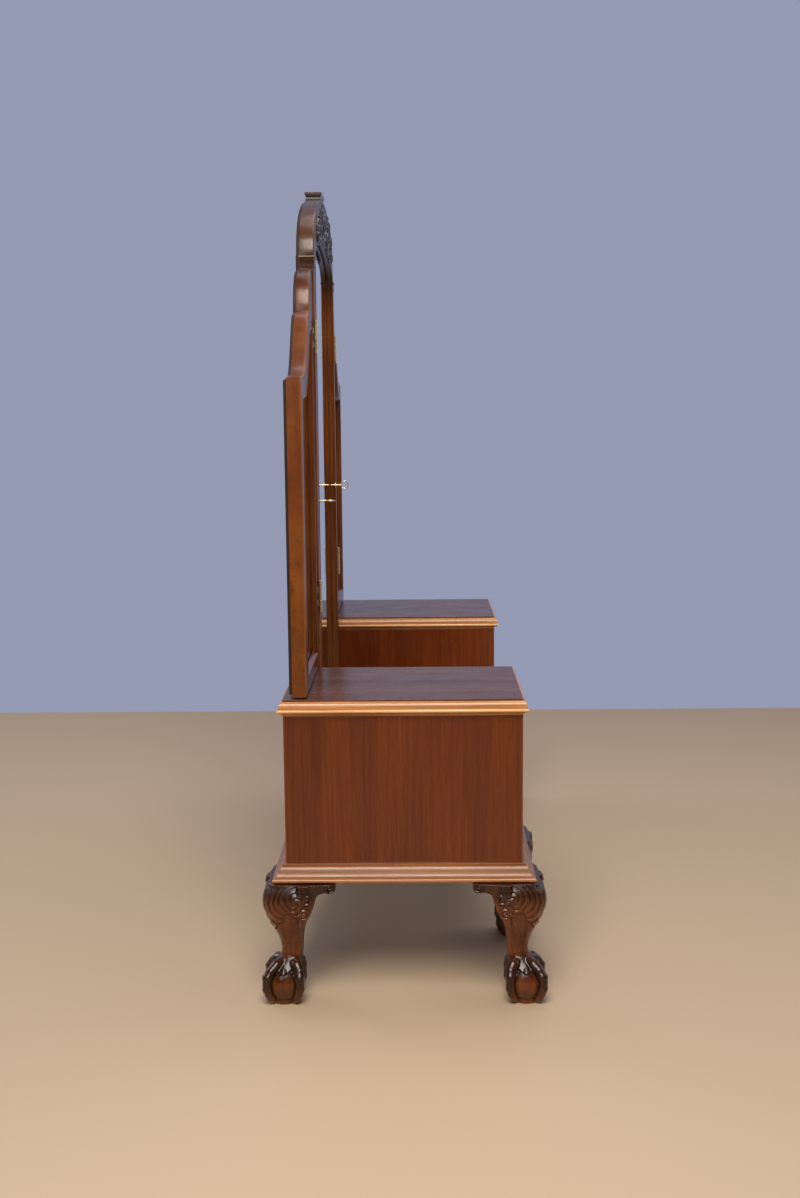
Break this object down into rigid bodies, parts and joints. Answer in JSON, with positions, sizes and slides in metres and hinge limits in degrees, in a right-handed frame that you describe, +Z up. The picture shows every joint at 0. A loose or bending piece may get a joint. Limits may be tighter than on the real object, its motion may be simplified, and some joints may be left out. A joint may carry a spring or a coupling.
{
  "type": "dressing table with triple mirror",
  "caption": "Pedestal dressing table on carved cabriole legs with ball-and-claw feet, drawers and a tall folding triple mirror.",
  "frame": {"origin": "on the floor under the middle of the table's outline", "axes": "+X to the right seen from the front along the table's width, -Y the front where the drawers open, +Z up"},
  "size_m": [1.454, 0.554, 1.625],
  "materials": {
    "mahogany": "French-polished red-brown mahogany, glossy, with vertical grain on the sides",
    "carved_mahogany": "carved mahogany, stained dark in the recesses and polished bright on the high parts",
    "drawer_wood": "plain waxed oak",
    "backboard": "dark stained board, matt",
    "mirror_glass": "silvered plate glass with a bevelled edge",
    "brass": "polished brass, lightly aged",
    "steel": "plain steel wood screws"
  },
  "bodies": {
    "table": {"left_top_board": "mahogany", "left_top_moulding": "mahogany", "left_outer_side": "mahogany", "left_inner_side": "mahogany", "left_base_moulding": "mahogany", "left_dust_board": "mahogany", "left_plinth": "mahogany", "left_back_panel": "backboard", "left_hinge_fixed_leaves": "brass", "left_front_outer_leg": "carved_mahogany", "left_front_inner_leg": "carved_mahogany", "left_back_outer_leg": "carved_mahogany", "right_top_board": "mahogany", "right_top_moulding": "mahogany", "right_outer_side": "mahogany", "right_inner_side": "mahogany", "right_base_moulding": "mahogany", "right_dust_board": "mahogany", "right_plinth": "mahogany", "right_back_panel": "backboard", "right_hinge_fixed_leaves": "brass", "right_front_outer_leg": "carved_mahogany", "right_front_inner_leg": "carved_mahogany", "right_back_outer_leg": "carved_mahogany", "platform_board": "mahogany", "platform_moulding": "mahogany", "centre_frame": "mahogany", "centre_glass": "mirror_glass", "centre_backboard": "backboard", "crest": "carved_mahogany", "key_escutcheons": "brass", "mirror_cleats": "mahogany", "mirror_screws": "steel"},
    "left_wing": {"left_wing_frame": "mahogany", "left_wing_glass": "mirror_glass", "left_wing_backboard": "backboard", "left_hinge_wing_leaves": "brass"},
    "left_lock_key": {"left_key": "brass"},
    "left_upper_drawer": {"left_upper_drawer_front": "mahogany", "left_upper_drawer_tray": "drawer_wood", "left_upper_drawer_handle_plate": "brass"},
    "left_upper_drawer_handle": {"left_upper_drawer_bail": "brass"},
    "left_lower_drawer": {"left_lower_drawer_front": "mahogany", "left_lower_drawer_tray": "drawer_wood", "left_lower_drawer_handle_plate": "brass"},
    "left_lower_drawer_handle": {"left_lower_drawer_bail": "brass"},
    "right_wing": {"right_wing_frame": "mahogany", "right_wing_glass": "mirror_glass", "right_wing_backboard": "backboard", "right_hinge_wing_leaves": "brass"},
    "right_lock_key": {"right_key": "brass"},
    "right_upper_drawer": {"right_upper_drawer_front": "mahogany", "right_upper_drawer_tray": "drawer_wood", "right_upper_drawer_handle_plate": "brass"},
    "right_upper_drawer_handle": {"right_upper_drawer_bail": "brass"},
    "right_lower_drawer": {"right_lower_drawer_front": "mahogany", "right_lower_drawer_tray": "drawer_wood", "right_lower_drawer_handle_plate": "brass"},
    "right_lower_drawer_handle": {"right_lower_drawer_bail": "brass"}
  },
  "joints": [
    {"name": "left_key_turn", "type": "hinge", "parent": "table", "child": "left_lock_key", "pos_m": [-0.2896, 0.179, 0.948], "axis": [0, 1, 0], "range_deg": [-90, 90]},
    {"name": "left_lower_drawer_handle_swing", "type": "hinge", "parent": "left_lower_drawer", "child": "left_lower_drawer_handle", "pos_m": [-0.515, -0.235, 0.345], "axis": [-1, 0, 0], "range_deg": [0, 90]},
    {"name": "left_lower_drawer_slide", "type": "slide", "parent": "table", "child": "left_lower_drawer", "axis": [0, -1, 0], "range_m": [0, 0.28]},
    {"name": "left_upper_drawer_handle_swing", "type": "hinge", "parent": "left_upper_drawer", "child": "left_upper_drawer_handle", "pos_m": [-0.515, -0.235, 0.496], "axis": [-1, 0, 0], "range_deg": [0, 90]},
    {"name": "left_upper_drawer_slide", "type": "slide", "parent": "table", "child": "left_upper_drawer", "axis": [0, -1, 0], "range_m": [0, 0.28]},
    {"name": "left_wing_hinge", "type": "hinge", "parent": "table", "child": "left_wing", "pos_m": [-0.34, 0.1775, 1.019], "axis": [0, 0, 1], "range_deg": [0, 120]},
    {"name": "right_key_turn", "type": "hinge", "parent": "table", "child": "right_lock_key", "pos_m": [0.2896, 0.179, 0.948], "axis": [0, 1, 0], "range_deg": [-90, 90]},
    {"name": "right_lower_drawer_handle_swing", "type": "hinge", "parent": "right_lower_drawer", "child": "right_lower_drawer_handle", "pos_m": [0.515, -0.235, 0.345], "axis": [-1, 0, 0], "range_deg": [0, 90]},
    {"name": "right_lower_drawer_slide", "type": "slide", "parent": "table", "child": "right_lower_drawer", "axis": [0, -1, 0], "range_m": [0, 0.28]},
    {"name": "right_upper_drawer_handle_swing", "type": "hinge", "parent": "right_upper_drawer", "child": "right_upper_drawer_handle", "pos_m": [0.515, -0.235, 0.496], "axis": [-1, 0, 0], "range_deg": [0, 90]},
    {"name": "right_upper_drawer_slide", "type": "slide", "parent": "table", "child": "right_upper_drawer", "axis": [0, -1, 0], "range_m": [0, 0.28]},
    {"name": "right_wing_hinge", "type": "hinge", "parent": "table", "child": "right_wing", "pos_m": [0.34, 0.1775, 1.019], "axis": [0, 0, -1], "range_deg": [0, 120]}
  ]
}
